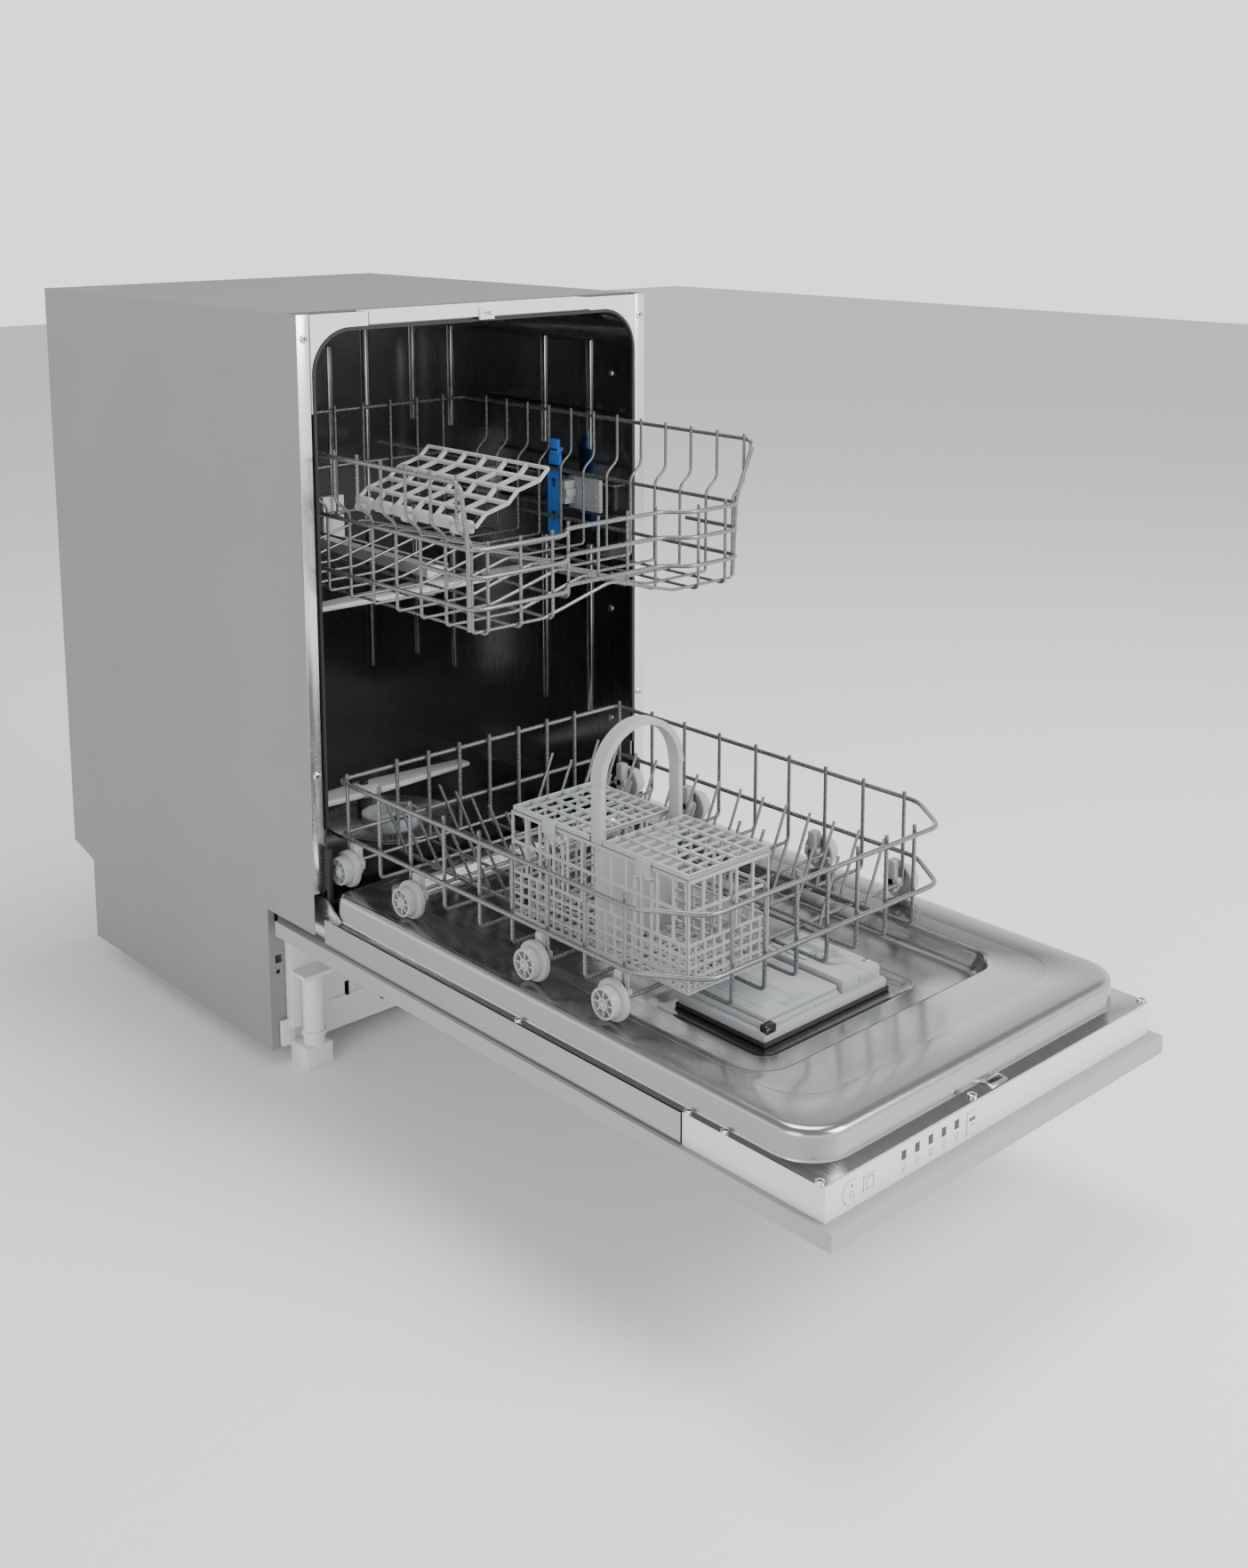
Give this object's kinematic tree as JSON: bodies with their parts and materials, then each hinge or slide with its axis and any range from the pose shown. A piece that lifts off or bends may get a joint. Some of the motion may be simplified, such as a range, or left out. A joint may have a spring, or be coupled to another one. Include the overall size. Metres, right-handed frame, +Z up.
{
  "type": "built in dishwasher",
  "caption": "Slimline built in dishwasher with its door open flat, both racks pulled out, a cutlery basket and a light grey decor panel.",
  "frame": {"origin": "on the floor, under the middle of the whole open machine", "axes": "+Y to the back, +Z up, +X to the right seen from the front"},
  "size_m": [0.448, 1.202, 0.79],
  "materials": {
    "grey_panel_steel": "zinc coated sheet, satin grey",
    "tub_steel": "polished stainless sheet",
    "door_steel": "satin stainless sheet",
    "black_rubber": "soft seal",
    "white_plastic": "moulded, satin",
    "decor_board": "light grey laminated board",
    "grey_plastic": "light grey, moulded",
    "button_plastic": "pale grey",
    "coated_wire": "silver grey nylon coat",
    "blue_plastic": "blue, moulded",
    "dark_plastic": "dark, moulded",
    "filter_steel": "perforated sheet",
    "cast_weight": "rough casting"
  },
  "bodies": {
    "cabinet": {"left_side_panel": "grey_panel_steel", "right_side_panel": "grey_panel_steel", "top_panel": "grey_panel_steel", "back_panel": "grey_panel_steel", "tub": "tub_steel", "upper_rails": "tub_steel", "door_liner": "door_steel", "door_shell": "door_steel", "hinge_brackets": "door_steel", "hinge_arms": "door_steel", "hinge_springs": "door_steel", "screws": "door_steel", "tub_gasket": "black_rubber", "corner_gussets": "white_plastic", "top_trim": "white_plastic", "base_tray": "white_plastic", "feet": "white_plastic", "control_fascia": "white_plastic", "feed_pipe": "white_plastic", "water_valve": "white_plastic", "decor_panel": "decor_board", "dispenser_body": "grey_plastic", "led_windows": "dark_plastic", "door_lock": "dark_plastic", "circulation_pump": "dark_plastic", "drain_pump": "dark_plastic", "sump": "dark_plastic", "water_softener": "dark_plastic", "filter_plate": "filter_steel", "counterweight": "cast_weight"},
    "upper_rack": {"upper_rack_rims": "coated_wire", "upper_rack_wires": "coated_wire", "rack_adjusters": "grey_plastic", "arm_carrier": "white_plastic"},
    "lower_rack": {"lower_rack_rims": "coated_wire", "lower_rack_wires": "coated_wire", "lower_rack_tines": "coated_wire", "wheel_clips": "grey_plastic"},
    "cup_shelf": {"cup_shelf": "grey_plastic"},
    "left_lever": {"left_adjuster_lever": "blue_plastic"},
    "right_lever": {"right_adjuster_lever": "blue_plastic"},
    "upper_rollers_front": {"upper_rollers_front": "grey_plastic"},
    "upper_rollers_rear": {"upper_rollers_rear": "grey_plastic"},
    "rack_wheels_1": {"rack_wheels_1": "grey_plastic"},
    "rack_wheels_2": {"rack_wheels_2": "grey_plastic"},
    "rack_wheels_3": {"rack_wheels_3": "grey_plastic"},
    "rack_wheels_4": {"rack_wheels_4": "grey_plastic"},
    "upper_spray_arm": {"upper_spray_arm": "white_plastic"},
    "lower_spray_arm": {"lower_spray_arm": "grey_plastic"},
    "basket": {"cutlery_basket": "grey_plastic", "basket_handle": "grey_plastic"},
    "basket_lid_front": {"basket_lid_front": "grey_plastic"},
    "basket_lid_rear": {"basket_lid_rear": "grey_plastic"},
    "dispenser_lid": {"dispenser_lid": "grey_plastic"},
    "rinse_aid_cap": {"rinse_aid_cap": "button_plastic"},
    "filter_cup": {"filter_cup": "dark_plastic"},
    "salt_cap": {"salt_cap": "dark_plastic"},
    "power_button": {"power_button": "button_plastic"},
    "program_button": {"program_button": "button_plastic"},
    "start_button": {"start_button": "button_plastic"}
  },
  "joints": [
    {"name": "lower_rack_slide", "type": "slide", "parent": "cabinet", "child": "lower_rack", "axis": [0, 1, 0], "range_m": [0, 0.485]},
    {"name": "upper_rack_slide", "type": "slide", "parent": "cabinet", "child": "upper_rack", "axis": [0, 1, 0], "range_m": [0, 0.205]},
    {"name": "rack_wheel_1_roll", "type": "hinge", "parent": "lower_rack", "child": "rack_wheels_1", "pos_m": [0, 0.062, 0.2383], "axis": [-1, 0, 0], "range_deg": [0, 1510]},
    {"name": "rack_wheel_2_roll", "type": "hinge", "parent": "lower_rack", "child": "rack_wheels_2", "pos_m": [0, -0.043, 0.2383], "axis": [-1, 0, 0], "range_deg": [0, 1510]},
    {"name": "rack_wheel_3_roll", "type": "hinge", "parent": "lower_rack", "child": "rack_wheels_3", "pos_m": [0, -0.226, 0.2383], "axis": [-1, 0, 0], "range_deg": [0, 1510]},
    {"name": "rack_wheel_4_roll", "type": "hinge", "parent": "lower_rack", "child": "rack_wheels_4", "pos_m": [0, -0.329, 0.2383], "axis": [-1, 0, 0], "range_deg": [0, 1510]},
    {"name": "roller_front_roll", "type": "hinge", "parent": "upper_rack", "child": "upper_rollers_front", "pos_m": [0, 0.134, 0.556], "axis": [-1, 0, 0], "range_deg": [0, 725]},
    {"name": "roller_rear_roll", "type": "hinge", "parent": "upper_rack", "child": "upper_rollers_rear", "pos_m": [0, 0.314, 0.556], "axis": [-1, 0, 0], "range_deg": [0, 725]},
    {"name": "cup_shelf_fold", "type": "hinge", "parent": "upper_rack", "child": "cup_shelf", "pos_m": [-0.164, -0.02, 0.604], "axis": [0, -1, 0], "range_deg": [0, 60]},
    {"name": "arm_spin_upper", "type": "hinge", "parent": "upper_rack", "child": "upper_spray_arm", "pos_m": [0, 0.174, 0.478], "axis": [0, 0, 1], "continuous": true},
    {"name": "arm_spin_lower", "type": "hinge", "parent": "cabinet", "child": "lower_spray_arm", "pos_m": [0, 0.312, 0.21], "axis": [0, 0, 1], "continuous": true},
    {"name": "basket_lift", "type": "slide", "parent": "lower_rack", "child": "basket", "axis": [0, 0, -1], "range_m": [-0.2, 0]},
    {"name": "basket_lid_front_open", "type": "hinge", "parent": "basket", "child": "basket_lid_front", "pos_m": [-0.051, -0.324, 0.349], "axis": [0, 1, 0], "range_deg": [0, 110]},
    {"name": "basket_lid_rear_open", "type": "hinge", "parent": "basket", "child": "basket_lid_rear", "pos_m": [-0.051, -0.202, 0.349], "axis": [0, 1, 0], "range_deg": [0, 110]},
    {"name": "dispenser_lid_slide", "type": "slide", "parent": "cabinet", "child": "dispenser_lid", "axis": [-1, 0, 0], "range_m": [0, 0.05]},
    {"name": "rinse_cap_turn", "type": "hinge", "parent": "cabinet", "child": "rinse_aid_cap", "pos_m": [0.034, -0.376, 0.223], "axis": [0, 0, 1], "range_deg": [0, 90]},
    {"name": "filter_cup_turn", "type": "hinge", "parent": "cabinet", "child": "filter_cup", "pos_m": [0, 0.259, 0.16], "axis": [0, 0, 1], "range_deg": [0, 90]},
    {"name": "salt_cap_turn", "type": "hinge", "parent": "cabinet", "child": "salt_cap", "pos_m": [-0.105, 0.404, 0.19], "axis": [0, 0, 1], "range_deg": [0, 90]},
    {"name": "lever_left_press", "type": "slide", "parent": "upper_rack", "child": "left_lever", "axis": [1, 0, 0], "range_m": [0, 0.0035], "stiffness_N_per_m": 300},
    {"name": "lever_right_press", "type": "slide", "parent": "upper_rack", "child": "right_lever", "axis": [-1, 0, 0], "range_m": [0, 0.0035], "stiffness_N_per_m": 300},
    {"name": "power_button_press", "type": "slide", "parent": "cabinet", "child": "power_button", "axis": [0, 1, 0], "range_m": [0, 0.0015], "stiffness_N_per_m": 500},
    {"name": "program_button_press", "type": "slide", "parent": "cabinet", "child": "program_button", "axis": [0, 1, 0], "range_m": [0, 0.0015], "stiffness_N_per_m": 500},
    {"name": "start_button_press", "type": "slide", "parent": "cabinet", "child": "start_button", "axis": [0, 1, 0], "range_m": [0, 0.0015], "stiffness_N_per_m": 500}
  ],
  "couplings": [
    {"joint": "rack_wheel_1_roll", "follows": "lower_rack_slide", "rad_per_m": 54.054},
    {"joint": "rack_wheel_2_roll", "follows": "lower_rack_slide", "rad_per_m": 54.054},
    {"joint": "rack_wheel_3_roll", "follows": "lower_rack_slide", "rad_per_m": 54.054},
    {"joint": "rack_wheel_4_roll", "follows": "lower_rack_slide", "rad_per_m": 54.054},
    {"joint": "roller_front_roll", "follows": "upper_rack_slide", "rad_per_m": 61.35},
    {"joint": "roller_rear_roll", "follows": "upper_rack_slide", "rad_per_m": 61.35}
  ]
}
